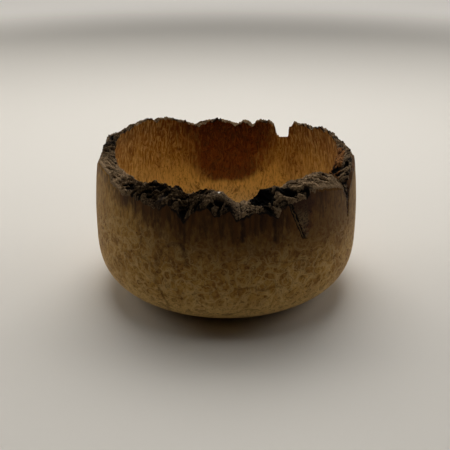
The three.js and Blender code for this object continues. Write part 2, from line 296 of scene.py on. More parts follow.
def drift(points, size, amount, seed):
    """The points, each moved by smooth random amounts."""
    moves = [noise(points, size, seed + axis) for axis in range(3)]
    return points + amount * np.stack(moves, axis=-1)


def cells(points, size, seed):
    """The distances from each point to the nearest two random seeds, in cell sizes."""
    scaled = points / size
    cell = np.floor(scaled).astype(np.int64)
    near = np.full(points.shape[:-1], 9)
    second = near.copy()
    for code in range(27):
        seeds = cell + (np.array([code % 3, code // 3 % 3, code // 9]) - 1)
        random = hashed(seeds, seed)
        gap = 0
        for axis in range(3):
            gap = gap + (seeds[..., axis] + third(random, axis) / 1023 - scaled[..., axis]) ** 2
        gap = np.sqrt(gap)
        second = np.minimum(second, np.maximum(near, gap))
        near = np.minimum(near, gap)
    return near, second


def smooth(value, low, high):
    """0 below low, 1 above high, and an even curve between them."""
    t = np.clip((value - low) / (high - low), 0, 1)
    return t * t * (3 - 2 * t)


def eased(table, angle):
    """A curve round the rim through (angle, value) points that never overshoots them."""
    angles, values = np.array(table, float).T
    a = np.concatenate([angles - 360, angles, angles + 360])
    v = np.tile(values, 3)
    slope = np.diff(v) / np.diff(a)
    before, after = slope[:-1], slope[1:]
    same = before * after > 0
    mean = np.zeros(len(a))
    mean[1:-1][same] = 2 * (before * after)[same] / (before + after)[same]
    turn = np.mod(angle, 360)
    i = np.searchsorted(a, turn, side="right") - 1
    span = a[i + 1] - a[i]
    s = (turn - a[i]) / span
    start = v[i] * (1 + 2 * s) + mean[i] * span * s
    end = v[i + 1] * (3 - 2 * s) + mean[i + 1] * span * (s - 1)
    return start * (1 - s) ** 2 + end * s * s


def spots(angle, radius, height=0):
    """Points from angles round the bowl, radii and heights."""
    turn = np.radians(angle)
    return np.stack(np.broadcast_arrays(radius * np.sin(turn), -radius * np.cos(turn), height), axis=-1)


def outer_radius(height):
    """The outside of the turned shape."""
    depth = np.clip((BELLY_HEIGHT - height) / BELLY_HEIGHT, 0, 1)
    across = (1 - depth**OUTER_DEPTH_POWER) ** (1 / OUTER_WIDTH_POWER)
    climb = np.clip(height - BELLY_HEIGHT, 0, None) / (RIM_HEIGHT - BELLY_HEIGHT)
    below = FOOT_RADIUS + (BELLY_RADIUS - FOOT_RADIUS) * across
    return np.where(height < BELLY_HEIGHT, below, BELLY_RADIUS - RIM_INSET * climb**2)


def hollow_radius(height):
    """The inside of the turned shape."""
    depth = np.clip((BELLY_HEIGHT - height) / (BELLY_HEIGHT - FLOOR), 0, 1)
    across = (1 - depth**HOLLOW_DEPTH_POWER) ** (1 / HOLLOW_WIDTH_POWER)
    return np.where(height < BELLY_HEIGHT, (BELLY_RADIUS - WALL) * across, outer_radius(height) - WALL)


def notch_floor(angle, radius):
    """The height of the notch's faces at points of the rim; far above it outside the notch."""
    turn = np.radians(angle - NOTCH_HEADING)
    start = math.radians(NOTCH_ANGLE - NOTCH_HEADING)
    across = radius * np.sin(turn) - RIM_MIDDLE * math.sin(start)
    along = RIM_MIDDLE * math.cos(start) - radius * np.cos(turn)
    places = np.stack(np.broadcast_arrays(across, along, 0), axis=-1)
    broken = across + 0.8 * noise(places, 1.7, 71)
    floor = np.interp(broken, *zip(*NOTCH_OUTLINE)) + 0.4 * noise(places, 0.7, 72)
    fall = math.radians(NOTCH_FALL)
    return RIM_HEIGHT - NOTCH_DROP + along * math.tan(fall) + floor / math.cos(fall)


def from_spot(angle, share, middle, across):
    """How far points of the rim are from a spot on it, round the rim and across it."""
    off = (np.mod(angle - middle + 180, 360) - 180) * MM_PER_DEGREE
    return off, (across - share) * WALL * FACE_SLOPE


def hollow_depths(table, angle, share, wider=1):
    """How deep a table's hollows are at points of the rim."""
    depth = 0
    for middle, across, half_length, half_width, deep, slant in table:
        off, rise = from_spot(angle, share, middle, across)
        rise = rise - slant * off
        place = np.stack([off, rise, np.full(off.shape, middle)], axis=-1)
        wobble = 1 + 0.35 * noise(place, 1.8, 31)
        far = np.sqrt((off / half_length) ** 2 + (rise / half_width) ** 2) * wobble / wider
        depth = np.maximum(depth, deep * (1 - smooth(far, 0.55, 1.15)))
    return depth


def knob_heights(angle, share):
    """How far the knobs stand up at points of the rim, and how much of each point is knob."""
    height, cover = 0, 0
    for middle, across, radius, tall in KNOBS:
        far = np.hypot(*from_spot(angle, share, middle, across)) / radius
        height = np.maximum(height, tall * np.sqrt(np.clip(1 - far**2, 0, 1)))
        cover = np.maximum(cover, 1 - smooth(far, 0.9, 1.7))
    return height, cover


def burl_surface(angle, share):
    """The burl's natural surface under the bark, as the CAD part has it."""
    inner = eased(CREST, angle) - BARK
    return RIM_HEIGHT + inner + (eased(LIP, angle) - inner) * share


def wood_top(angle, share):
    """The burl's natural surface with its fine raggedness."""
    place = spots(angle, RIM_INNER + WALL * share)
    rough = 0.5 * noise(place, 3.4, 21) + 0.3 * noise(place, 1.3, 22)
    teeth = 1.2 * noise(place, 4.6, 23) + 1.1 * noise(place, 2, 24)
    height = burl_surface(angle, share) + rough * (0.35 + 0.65 * share)
    height = height + teeth * smooth(share, 0.6, 1) * smooth(np.cos(np.radians(angle)), 0.4, 0.8)
    return height - np.clip(hollow_depths(HOLLOWS, angle, share, 1.3) - 2, 0, None)


def rim_wood(angle, share):
    """The wood's top, with the notch broken out of it."""
    share = np.broadcast_to(share, angle.shape)
    return np.minimum(wood_top(angle, share), notch_floor(angle, RIM_INNER + WALL * share))


def behind(angle):
    """1 at the back of the rim, 0 at the front."""
    return smooth(-np.cos(np.radians(angle)), -0.5, 0)


def new_mesh(name, points, faces):
    """A mesh from points in millimetres."""
    mesh = bpy.data.meshes.new(name)
    mesh.from_pydata((np.asarray(points) * MM).tolist(), [], faces)
    return mesh


def new_object(name, data):
    """An object in the scene."""
    made = bpy.data.objects.new(name, data)
    bpy.context.scene.collection.objects.link(made)
    return made


def make_piece(name, points, faces, material, stands_for):
    """A smooth-shaded mesh, which stands for its CAD node and rides on the bowl."""
    mesh = new_mesh(name, points, faces)
    mesh.shade_smooth()
    mesh.materials.append(material)
    mesh.update()
    piece = new_object(name, mesh)
    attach(piece, "root")
    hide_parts(stands_for)
    return piece


def put_values(mesh, **named):
    """Numbers for each vertex, repeated if they are fewer, which the material reads by name."""
    for name, values in named.items():
        data = mesh.attributes.new(name, "FLOAT", "POINT").data
        data.foreach_set("value", np.resize(np.asarray(values, np.float32), len(data)))


def grid_faces(columns, rows, closed_columns, closed_rows):
    """Quads over a grid whose points are stored column by column."""
    i = np.arange(columns if closed_columns else columns - 1)[:, None]
    j = np.arange(rows if closed_rows else rows - 1)[None, :]
    next_i = (i + 1) % columns
    next_j = (j + 1) % rows
    quads = [i * rows + j, next_i * rows + j, next_i * rows + next_j, i * rows + next_j]
    return np.stack([q.ravel() for q in quads], axis=1)


def wood_columns():
    """Angles round the bowl, closer together at the notch."""
    low = NOTCH_ANGLE - NOTCH_REACH
    high = NOTCH_ANGLE + NOTCH_REACH
    near = np.arange(low, high, NOTCH_STEP)
    count = int((360 - 2 * NOTCH_REACH) / WOOD_STEP)
    far = high + np.arange(count) * (360 - (near[-1] + NOTCH_STEP - low)) / count
    return np.mod(np.concatenate([near, far]), 360)


def wood_profile(angle):
    """Radii and heights of the wood's points, a row for each angle."""
    recess = FOOT_RADIUS - FOOT_RING
    rows = [(radius, RECESS_DEPTH) for radius in (6, 18, recess - RECESS_SLOPE - 1)]
    rows += [(recess - RECESS_SLOPE, RECESS_DEPTH - 0.12), (recess - 0.5, 0.12)]
    rows += [(radius, 0) for radius in (recess + 0.3, recess + 5, FOOT_RADIUS - 4)]
    turns = np.sin(np.linspace(1, 0, 24) * math.pi / 2)
    outside = list(BELLY_HEIGHT * (1 - turns ** (2 / OUTER_DEPTH_POWER)))
    outside += list(np.linspace(BELLY_HEIGHT, SHOULDER, 22)[1:])
    lip = rim_wood(angle, 1)
    outside += [SHOULDER + (lip - SHOULDER) * part for part in np.linspace(0, 1, 20)[1:]]
    rows += [(outer_radius(height), height) for height in outside]
    for share in np.linspace(1, 0, 15)[1:]:
        height = rim_wood(angle, share)
        inside = hollow_radius(height)
        rows.append((inside + (outer_radius(height) - inside) * share, height))
    crest = rim_wood(angle, 0)
    inside = [SHOULDER + (crest - SHOULDER) * part for part in np.linspace(1, 0, 12)[1:]]
    inside += list(np.linspace(SHOULDER, BELLY_HEIGHT, 6)[1:])
    rows += [(hollow_radius(height), height) for height in inside]
    for turn in np.linspace(0, math.pi / 2, 22)[1:-1]:
        across = math.cos(turn) ** (2 / HOLLOW_WIDTH_POWER)
        down = math.sin(turn) ** (2 / HOLLOW_DEPTH_POWER)
        rows.append(((BELLY_RADIUS - WALL) * across, BELLY_HEIGHT - (BELLY_HEIGHT - FLOOR) * down))
    full = [np.broadcast_arrays(radius, height, angle)[:2] for radius, height in rows]
    return np.stack([r for r, _ in full], axis=1), np.stack([h for _, h in full], axis=1)


def make_wood(material):
    """The turned wood: one skin from the middle of the foot round to the middle of the floor."""
    angle = wood_columns()
    radii, heights = wood_profile(angle)
    columns, rows = radii.shape
    points = spots(angle[:, None], radii, heights).reshape(-1, 3)
    faces = grid_faces(columns, rows, True, False).tolist()
    foot, floor = len(points), len(points) + 1
    for i in range(columns):
        j = (i + 1) % columns
        faces.append((foot, j * rows, i * rows))
        faces.append((floor, (i + 1) * rows - 1, (j + 1) * rows - 1))
    points = np.concatenate([points, [[0, 0, RECESS_DEPTH], [0, 0, FLOOR]]])
    return make_piece("turned_burl_wood", points, faces, material, "turned_bowl")


def cut_away(piece, cutter):
    """Takes the cutter's shape out of the piece, and removes the cutter."""
    change = piece.modifiers.new("cut", "BOOLEAN")
    change.operation = "DIFFERENCE"
    change.solver = "MANIFOLD"
    change.object = cutter
    graph = bpy.context.evaluated_depsgraph_get()
    cut = bpy.data.meshes.new_from_object(piece.evaluated_get(graph))
    piece.modifiers.clear()
    old = piece.data
    piece.data = cut
    cut.name = old.name + "_cut"
    bpy.data.meshes.remove(old)
    mesh = cutter.data
    bpy.data.objects.remove(cutter)
    bpy.data.meshes.remove(mesh)


def figure_place(points, inside):
    """Where the wood's figure is taken from: stretched downwards inside, and near the rim outside."""
    x, y, z = points.T
    over = np.clip(z - 66, 0, None)
    radius = np.hypot(x, y) + 1e-3
    upright = np.where(inside, 0.7 * (z + radius) + 400, z - 0.7 * over**2 / (28 + over))
    spread = np.where(inside, 1 + smooth(z, 15, 26) * ((BELLY_RADIUS - WALL) / radius - 1), 1)
    return np.stack([x * spread, y * spread, upright], axis=1)


def dark_patch(points, inside):
    """How far each point is into the inside's dark patch: 0 at its edge, 1 well in."""
    x, y, z = points.T
    turned = np.mod(np.degrees(np.arctan2(x, -y)), 360)
    upper = smooth(z, 52, 86)
    left = (np.interp(z, *zip(*PATCH_EDGE)) + 9 + 14 * upper - turned) / (14 + 18 * upper)
    right = (turned - 147 + 7 * upper) / 22
    foot = (z - 42 - 0.9 * np.clip(171 - turned, 0, None)) / 6
    patch = np.minimum(np.minimum(left, right), foot)
    patch = np.maximum(patch, 0.35 * smooth(165 - turned, 0, 25) * smooth(z, 40, 60))
    return np.where(inside, np.clip(patch, -1, 1.5), -1)


def put_wood(mesh, points, inside, stain):
    """What the wood's colours are worked out from, at each vertex."""
    # Darker towards the rim on the front: partly the wood's own darker tone, partly painted shade on the side
    # that faces away from the lamps
    facing = np.cos(np.arctan2(points[:, 0], -points[:, 1]) - math.radians(20))
    tone = smooth(points[:, 2], 34, 72) * (0.2 + 0.8 * smooth(facing, 0.4, 0.88))
    put_values(mesh, inside=inside, stain=stain, patch=dark_patch(points, inside), tone=tone)
    layer = mesh.attributes.new("figure", "FLOAT_VECTOR", "POINT")
    layer.data.foreach_set("vector", figure_place(points, inside).astype(np.float32).ravel())


def flush_faces(angle):
    """Where the bark's outer face is turned flush, on the left and on the right."""
    turned = np.mod(angle, 360)
    left = smooth(turned, 268, 284) * (1 - smooth(turned, 306, 318))
    right = smooth(turned, 34, 41) * (1 - smooth(turned, 54, 59))
    return left, right


def outside_stain(angle, below):
    """How stained the outside is below the bark; never deeply where the bark's face is flush."""
    left, right = flush_faces(angle)
    most = 1 - 0.66 * np.maximum(left, right * smooth(np.mod(angle, 360), 36, 51))
    return np.minimum(1 - below / eased(STAIN, angle), most)


def wood_values(mesh):
    """Puts on the wood what its material reads."""
    points = np.empty(len(mesh.vertices) * 3, np.float32)
    mesh.vertices.foreach_get("co", points)
    points = points.reshape(-1, 3).astype(float) / MM
    x, y, z = points.T
    radius = np.hypot(x, y)
    angle = np.degrees(np.arctan2(x, -y))
    middle = np.where(z > BELLY_HEIGHT, outer_radius(z) - WALL / 2, hollow_radius(z) + WALL / 2)
    inside = (radius < middle) & (z > FLOOR - 1)
    below = wood_top(angle, np.where(inside, 0, 1)) - z
    stain = np.where(inside, np.minimum(1 - below / INSIDE_STAIN, 0.45), outside_stain(angle, below))
    # Where the bark covers the rim top the wood is painted dark, as shade between bark and wood; the rest of
    # the rim top is lightly stained
    on_rim = (np.abs(radius - middle) < WALL / 2 - 0.3) & (z > SHOULDER)
    covered = on_rim & (wood_top(angle, (radius - RIM_INNER) / WALL) - z < 1)
    put_wood(mesh, points, inside, np.where(covered, 1.5, np.where(on_rim, 0.3, stain)))
    # A dark line just under the bark's lower edge at the front: painted shadow of the bark's overhang
    deep = 2.2 + 3.4 * noise(spots(angle, RIM_OUTER), 4.4, 91)
    front = smooth(angle, -34, -24) * (1 - smooth(angle, 22, 32)) * smooth(deep, 0, 1.2)
    under = (1 - smooth(below, 0.2, np.maximum(deep, 0.4))) * front
    put_values(mesh, under=np.where(inside, 0, under))
    mesh.set_sharp_from_angle(angle=math.radians(45))


def bark_loop():
    """The bark's section, as shares of its width and height, with rounded upper corners."""
    wide, tall = 0.09, 0.24
    turns = np.linspace(math.pi, math.pi / 2, 5)
    corner = [(wide + wide * math.cos(turn), 1 - tall + tall * math.sin(turn)) for turn in turns]
    loop = [(0, h) for h in np.linspace(0, 1 - tall, 8)] + corner[1:]
    loop += [(s, 1) for s in np.linspace(wide, 1 - wide, 58)[1:]]
    loop += [(1 - s, h) for s, h in corner[-2::-1]]
    loop += [(1, h) for h in np.linspace(1 - tall, 0, 8)[1:]]
    loop += [(s, 0) for s in np.linspace(1, 0, 5)[1:-1]]
    return np.array(loop)


def bark_relief(points, angle, share):
    """How far the bark's face stands out, and how open it is: 0 in its crevices, 1 on its ridges."""
    knob, cover = knob_heights(angle, share)
    crag = eased(CRAG, angle) * (1 - 0.85 * cover)
    place = drift(points, 7, 3, 11)
    broad = noise(place, 6.5, 14)
    middle = noise(drift(points, 3, 1.2, 16), 2.6, 17)
    arc = angle * MM_PER_DEGREE
    run = np.interp(np.mod(angle, 360), *zip(*SLANT)) * MM_PER_DEGREE
    ridge = 0
    for width, length, tall in RIDGES:
        across = (0.78 * WALL * share + 0.62 * run) / width
        along = (0.78 * arc - 0.62 * WALL * share) / length
        grooved = drift(np.stack([across, along, 0 * arc], axis=-1), 1.3, 0.5, 18)
        ridge = ridge + tall * (0.5 - np.abs(noise(grooved, 1, 22)) * 2)
    grain, _ = cells(points, 1.7, 24)
    grit = 0.42 * noise(points, 0.95, 25) + 0.2 * noise(points, 0.55, 26)
    coarse = 0.9 * broad + 0.45 * middle + ridge - 0.5
    fine = 0.7 * (0.4 - grain**2) + grit
    # Painted black shade in the hollows and the shaded spots: their openness goes to 0
    black = np.maximum(hollow_depths(HOLLOWS, angle, share) / 2, hollow_depths(SHADE, angle, share))
    relief = crag * coarse + fine * (0.75 + 0.25 * crag) * (1 - 0.5 * cover) + knob
    blotch = smooth(noise(place, 9, 27), 0.02, 0.3) * behind(angle)
    openness = smooth(coarse * crag + 1.3 * fine, -1.3, 0.5) * (1 - smooth(black, 0.2, 0.8))
    return relief, openness * (1 - 0.6 * blotch)


def plate_ends(start, stop, share, height):
    """The angles of a plate's two ends over its section, with an open V to the next plate."""
    radius = RIM_INNER + WALL * share
    ends = []
    for side, angle in ((1, start), (-1, stop)):
        if angle == NOTCH_ANGLE:
            across = RIM_MIDDLE * math.sin(math.radians(NOTCH_ANGLE - NOTCH_HEADING)) + NOTCH_ENDS[side]
            ends.append(NOTCH_HEADING + np.degrees(np.arcsin(across / radius)))
            continue
        place = np.stack([share * WALL, height * 4, np.full(share.shape, angle)], axis=-1)
        wander = 0.7 * noise(place, 2.5, 41)
        gap = 0.08 + 0.25 * height**2
        ends.append(angle + np.degrees((wander + side * gap) / radius))
    return ends


def notch_rounding(start, stop, along, length):
    """How much of a plate's height is left near the notch, where it is broken off."""
    if start == NOTCH_ANGLE:
        return 0.12 + 0.88 * np.sqrt(1 - (1 - np.clip(along * length / 4.6, 0, 1)) ** 2)
    if stop == NOTCH_ANGLE:
        return 0.12 + 0.88 * smooth((1 - along) * length, -1, 6)
    return np.ones(len(along))


def make_plate(name, start, stop, material):
    """The plate of bark between two clefts: a closed mesh with a craggy face, rounded at its ends."""
    length = (stop - start) % 360 * MM_PER_DEGREE
    across, up = bark_loop().T
    rows = len(up)
    columns = int(length / PLATE_STEP)
    along = np.linspace(0, 1, columns)
    along = along - 0.5 / math.pi * np.sin(2 * math.pi * along) * min(0.9, 5 / length)
    from_end = np.minimum(along, 1 - along)[:, None] * length
    round_off = np.sqrt(np.clip(1 - (1 - np.clip(from_end / 1.6, 0, 1)) ** 2, 0, 1))
    broken = notch_rounding(start, stop, along, length)[:, None]
    height = up * (0.85 + 0.15 * round_off) * broken
    share = 0.5 + (across - 0.5) * (0.97 + 0.03 * round_off)
    first, last = plate_ends(start, stop, share, height)
    angle = first + np.mod(last - first, 360) * along[:, None]

    bottom = rim_wood(angle, share) + REST_GAP
    edge = spots(angle, RIM_INNER)
    back = behind(angle)
    jags = (0.45 + 0.55 * back) * 2.6 * noise(edge, 4.2, 81)
    jags += (0.3 + 0.7 * back) * 2.2 * noise(edge, 1.7, 82)
    top = burl_surface(angle, share) + BARK + (BARK_EDGE - BARK + BARK_CROWN * 4 * (1 - share)) * share
    top = top + jags * (1 - smooth(share, 0.15, 0.6)) * (0.35 + 0.65 * round_off) * broken
    top = top + bottom - REST_GAP - wood_top(angle, share) + eased(SWELL, angle) * smooth(share, 0.1, 0.9)
    top = np.maximum(top - hollow_depths(HOLLOWS, angle, share), bottom + 0.9)
    level = bottom + (top - bottom) * height
    inside = hollow_radius(level) - 0.02
    outside = outer_radius(level) - eased(SETBACK, angle)
    radius = inside + (outside - inside) * share

    step_r = np.roll(radius, -1, 1) - np.roll(radius, 1, 1)
    step_z = np.roll(level, -1, 1) - np.roll(level, 1, 1)
    size = np.hypot(step_r, step_z) + 1e-9
    relief, openness = bark_relief(spots(angle, radius, level), angle, share)
    face = smooth(up, 0.55, 1)
    side = np.where(across > 0.5, 0.45, 0.1) * smooth(up, 0, 0.3)
    flush = np.maximum(*flush_faces(angle))
    weight = np.maximum(face * (0.35 + 0.65 * round_off), side) * (0.5 + 0.5 * smooth(share, 0, 0.25))
    weight = weight * (1 - 0.85 * flush * smooth(share, 0.8, 0.97)) * broken
    thick = np.maximum(top - bottom, 0.5) * height
    push = np.clip(relief * weight, -np.maximum(thick - 0.5, 0), 2.1)
    hang = 0.4 * smooth(np.cos(np.radians(angle - 2)), 0.8, 0.88)
    radius = np.minimum(radius - step_z / size * push, outside + hang)
    radius = np.maximum(radius, hollow_radius(level) - 0.25)
    level = np.minimum(level + step_r / size * push, cad_box[1].z / MM - 0.05)

    points = spots(angle, radius, level).reshape(-1, 3)
    faces = grid_faces(columns, rows, False, True)[:, ::-1].tolist()
    faces.append(tuple(range(rows)))
    faces.append(tuple(reversed(range((columns - 1) * rows, columns * rows))))
    mesh = make_piece(name + "_relief", points, faces, material, name).data
    turned = np.mod(angle, 360)
    inner = 1 - smooth(share, 0, 0.3)
    # Where the painted crevice shade is left off: low on the inner face at the back, and on the flush faces
    shown = 1 - inner * back * (1 - smooth(height, 0.3, 0.9))
    shown = shown * (1 - flush * smooth(share, 0.75, 0.95))
    lower = smooth(share, 0.92, 1) * (0.1 + 0.8 * flush * (1 - smooth(height, 0.25, 0.8)))
    put_values(
        mesh,
        openness=1 - (1 - openness) * shown,
        under=0,
        pale=eased(PALE, turned),
        rusty=smooth(turned, 54, 62) * (1 - smooth(turned, 78, 92)) * (1 - smooth(share, 0.3, 0.7)),
        cut=np.maximum(inner * (1.25 - 1.1 * smooth(height, 0.35, 1)) * back, lower),
    )
    put_wood(mesh, points, (share < 0.5).ravel(), np.where(share < 0.5, 0.45, 0.7 - 0.36 * flush))


def ingrown_sheet(spec, spread, columns, rows):
    """Angles and heights over a patch of ingrown bark, with ragged sides; spread widens it."""
    _, middle, _, _, left, right = spec
    u = np.linspace(0, 1, columns)[:, None] ** 1.4
    v = np.linspace(0, 1, rows)[None, :]
    top = RIM_HEIGHT + 4
    foot_left, foot_right = left[1][1], right[1][1]
    height = top + (RIM_HEIGHT + foot_left + (foot_right - foot_left) * u - spread - top) * v
    start = left[0][1]
    drop = np.clip((RIM_HEIGHT + start - height) / (start - (foot_left + foot_right) / 2), -0.4, 1.1)
    place = np.stack(np.broadcast_arrays(height, middle, 0), axis=-1)
    scale = smooth(right[0][0] - left[0][0], 2, 12) * 0.8 + 0.2
    sides = []
    for edge, wider, broad, fine, seed in ((left, -spread, 3.1, 1.1, 51), (right, spread, 2.7, 1.2, 53)):
        wobble = 0.55 * noise(place, broad, seed) + 0.25 * noise(place, fine, seed + 1)
        off = np.degrees((wobble * scale + wider) / RIM_OUTER)
        sides.append(middle + edge[0][0] + (edge[1][0] - edge[0][0]) * drop + off)
    return sides[0] + (sides[1] - sides[0]) * u, height


def slab(front, back):
    """The points and faces of a closed block between two grids of points."""
    columns, rows, _ = front.shape
    count = columns * rows
    quads = grid_faces(columns, rows, False, False)
    faces = quads[:, ::-1].tolist() + (quads + count).tolist()
    edge = [i * rows for i in range(columns)]
    edge += [(columns - 1) * rows + j for j in range(1, rows)]
    edge += [i * rows + rows - 1 for i in range(columns - 2, -1, -1)]
    edge += [j for j in range(rows - 2, 0, -1)]
    faces += [(a, b, b + count, a + count) for a, b in zip(edge, edge[1:] + edge[:1])]
    return np.concatenate([front.reshape(-1, 3), back.reshape(-1, 3)]), faces


def make_ingrown(spec, wood, material):
    """A patch of ingrown bark, in a pocket that is cut for it in the wood."""
    name, _, depth, fading, _, _ = spec
    angle, height = ingrown_sheet(spec, 0.06, 12, 60)
    skin = outer_radius(height)
    pocket = slab(spots(angle, skin + 3, height), spots(angle, skin - depth, height))
    cut_away(wood, new_object(name + "_pocket", new_mesh(name + "_pocket", *pocket)))

    angle, height = ingrown_sheet(spec, -0.02, 90, 130)
    lip = wood_top(angle, np.ones(angle.shape))
    height = np.minimum(height, lip - 0.05)
    skin = outer_radius(height)
    place = spots(angle, skin, height)
    near, second = cells(drift(place, 3, 0.8, 61), 2.6, 62)
    rough = 0.35 * noise(place, 1.6, 63) + 0.18 * noise(place, 0.7, 64)
    crack = np.exp(-((second - near) / 0.1) ** 2)
    across = np.radians(angle - angle[:1]) * RIM_OUTER
    wander = 0.9 * noise(place, 3.4, 66) + 0.5 * noise(place, 1.2, 67)
    low = np.linspace(0, 1, angle.shape[1])[None, :] * np.ones(angle.shape)
    broad = 1 - smooth(depth, 4, 4.9)
    seam = np.exp(-(((across - 0.2) / (0.9 + (1 - low) ** 2 + 0.5 * low**3)) ** 4))
    seam = seam + np.exp(-(((across - 2.2 + wander) / 0.5) ** 4)) * smooth(wander, 0.5, 0.1)
    from_right = across[-1:] - across
    edge = 3 * noise(place, 4, 65) * smooth(from_right, 0, 4)
    blended = smooth(from_right + edge, 13, 3)
    blended = np.maximum(blended, smooth(low, 0.86, 1) * smooth(across, 2.5, 5)) * broad
    blended = np.maximum(blended, smooth(low, 0.35, 0.75) * (1 - broad) * fading)
    sunk = (0.3 - rough * 0.5 + 0.5 * crack) * (1 - 0.9 * broad) * (1 - 0.8 * blended) + 0.7 * seam * broad
    sunk = np.clip(sunk, 0.02, 1.6)
    points, faces = slab(spots(angle, skin - sunk, height), spots(angle, skin - depth + 0.3, height))
    mesh = make_piece(name + "_relief", points, faces, material, name).data
    mesh.set_sharp_from_angle(angle=math.radians(60))
    below = lip - height
    front = 1 - smooth(np.mod(angle + 180, 360) - 180, 22, 32)
    pale_seam = np.exp(-(((across - 1.3 + wander / 2) / 0.3) ** 4)) * broad * smooth(low, 0.3, 0.45)
    put_values(
        mesh,
        # Painted shade in the sunk seam and cracks
        openness=1 - smooth(sunk, 0.2, 0.8),
        blended=blended,
        seam=pale_seam,
        # Painted shadow just under the bark's edge, as on the wood
        under=(1 - smooth(below, 0.6, 3.2)) * front,
    )
    put_wood(mesh, points, False, outside_stain(angle, below))


def srgb(red, green, blue):
    """A colour as it looks on screen, 0 to 255, for a shader."""
    channels = [c / 255 for c in (red, green, blue)]
    linear = [c / 12.92 if c <= 0.04045 else ((c + 0.055) / 1.055) ** 2.4 for c in channels]
    return (*linear, 1)


class Nodes:
    """The nodes of a material or the world, added a call at a time."""

    def __init__(self, owner):
        owner.use_nodes = True
        self.owner = owner
        self.tree = owner.node_tree
        self.tree.nodes.clear()

    def node(self, kind, inputs=(), **settings):
        made = self.tree.nodes.new("ShaderNode" + kind)
        for key, value in settings.items():
            setattr(made, key, value)
        for key, value in dict(inputs).items():
            value = getattr(value, "socket", value)
            if isinstance(value, bpy.types.NodeSocket):
                self.tree.links.new(value, made.inputs[key])
            else:
                made.inputs[key].default_value = value
        return made

    def value(self, name, output="Fac"):
        """A vertex's number, or with "Vector" its point."""
        return Value(self, self.node("Attribute", attribute_name=name).outputs[output])

    def scaled(self, vector, factor):
        made = self.node("VectorMath", {0: vector, "Scale": factor}, operation="SCALE")
        return Value(self, made.outputs[0])

    def place(self):
        """The point being shaded, in millimetres."""
        return self.scaled(self.node("TexCoord").outputs["Object"], 1 / MM)

    def paint(self, color, *layers, way="MIX"):
        """The colour under layers of (share, colour); plain colours are as they look on screen."""
        settings = {"data_type": "RGBA", "blend_type": way, "clamp_factor": True}
        for share, layer in layers:
            a, b = (srgb(*c) if isinstance(c, tuple) else c for c in (color, layer))
            color = self.node("Mix", {0: share, 6: a, 7: b}, **settings).outputs[2]
        return color

    def surface(self, **inputs):
        """Ends the material with its surface shader."""
        inputs = {key.replace("_", " "): value for key, value in inputs.items()}
        shader = self.node("BsdfPrincipled", inputs)
        self.node("OutputMaterial", {"Surface": shader.outputs[0]})
        return self.owner

    def finish(self, color, roughness, specular, height, bump, distance):
        """Ends the material, with a bump from a height in millimetres."""
        inputs = {"Height": height, "Strength": bump, "Distance": distance * MM}
        normal = self.node("Bump", inputs).outputs[0]
        return self.surface(Base_Color=color, Roughness=roughness, Specular_IOR_Level=specular, Normal=normal)


class Value:
    """A number, or a point in millimetres, in a material. Sums with it add the nodes for them."""

    def __init__(self, nodes, socket):
        self.nodes = nodes
        self.socket = socket
        self.kind = "Math" if socket.type == "VALUE" else "VectorMath"

    def math(self, operation, other=0, output=0, **settings):
        made = self.nodes.node(self.kind, {0: self, 1: other}, operation=operation, **settings)
        return Value(self.nodes, made.outputs[output])

    def __add__(self, other):
        return self.math("ADD", other)

    def __sub__(self, other):
        return self.math("SUBTRACT", other)

    def __mul__(self, other):
        return self.math("MULTIPLY", other)

    def __abs__(self):
        return self.math("ABSOLUTE")

    def most(self, other):
        return self.math("MAXIMUM", other)

    def gap(self, other):
        return self.math("DISTANCE", other, "Value")

    def folded(self, times):
        """The number times a factor, folded between 0 and a half."""
        return (self * times).math("PINGPONG", 0.5)

    def step(self, low, high, out_low=0, out_high=1):
        """An even curve from out_low at low to out_high at high."""
        inputs = {"Value": self, "From Min": low, "From Max": high, "To Min": out_low, "To Max": out_high}
        made = self.nodes.node("MapRange", inputs, interpolation_type="SMOOTHSTEP")
        return Value(self.nodes, made.outputs["Result"])

    def noise(self, size, detail=2, roughness=0.5, output="Fac"):
        inputs = {"Vector": self, "Scale": 1 / size, "Detail": detail, "Roughness": roughness}
        return Value(self.nodes, self.nodes.node("TexNoise", inputs).outputs[output])

    def drifted(self, size, amount):
        """The point, moved by smooth random amounts."""
        centred = self.noise(size, output="Color") - (0.5, 0.5, 0.5)
        return self + self.nodes.scaled(centred, amount)

    def cells(self, size, jitter=1):
        """The distance to the nearest random seed, and that seed's three random numbers."""
        inputs = {"Vector": self, "Scale": 1 / size, "Randomness": jitter}
        made = self.nodes.node("TexVoronoi", inputs)
        random = self.nodes.node("SeparateColor", {0: made.outputs["Color"]}).outputs
        return [Value(self.nodes, socket) for socket in (made.outputs["Distance"], *random)]


def strokes(s, place):
    """How dark the drawn lines and pin knots are, the height, and how far each point is from a painted flute
    line in the stain.
    """
    x, y, level = (Value(s, part) for part in s.node("SeparateXYZ", {0: place}).outputs)
    arc = x.math("ARCTAN2", y * -1) * BELLY_RADIUS
    flat = Value(s, s.node("CombineXYZ", {0: arc, 1: level}).outputs[0])
    shaken = flat.drifted(6, 3)
    dark = x * 0
    for width, strength, points in STROKES:
        for (angle_a, z_a), (angle_b, z_b) in zip(points, points[1:]):
            off = shaken - (math.radians(angle_a) * BELLY_RADIUS, z_a, 0)
            run = (math.radians(angle_b - angle_a) * BELLY_RADIUS, z_b - z_a, 0)
            reach = off.math("DOT_PRODUCT", run, "Value")
            part = reach.math("MULTIPLY", 1 / (run[0] ** 2 + run[1] ** 2), use_clamp=True)
            gap = off.gap(s.scaled(run, part))
            dark = dark.most(gap.step(width * 1.9, width * 0.3, 0, strength))
    dark = dark * flat.noise(3.5, 4, 0.7).step(0.3, 0.55, 0.35, 1)
    for angle, height in PINS:
        gap = flat.gap((math.radians(angle) * BELLY_RADIUS, height, 0))
        dark = dark.most(gap.step(0.6, 0.3, 0, 1.6))
    return dark, level, abs((flat * (1, 0.1, 1)).noise(5.6, 1, 0.4) - 0.5)


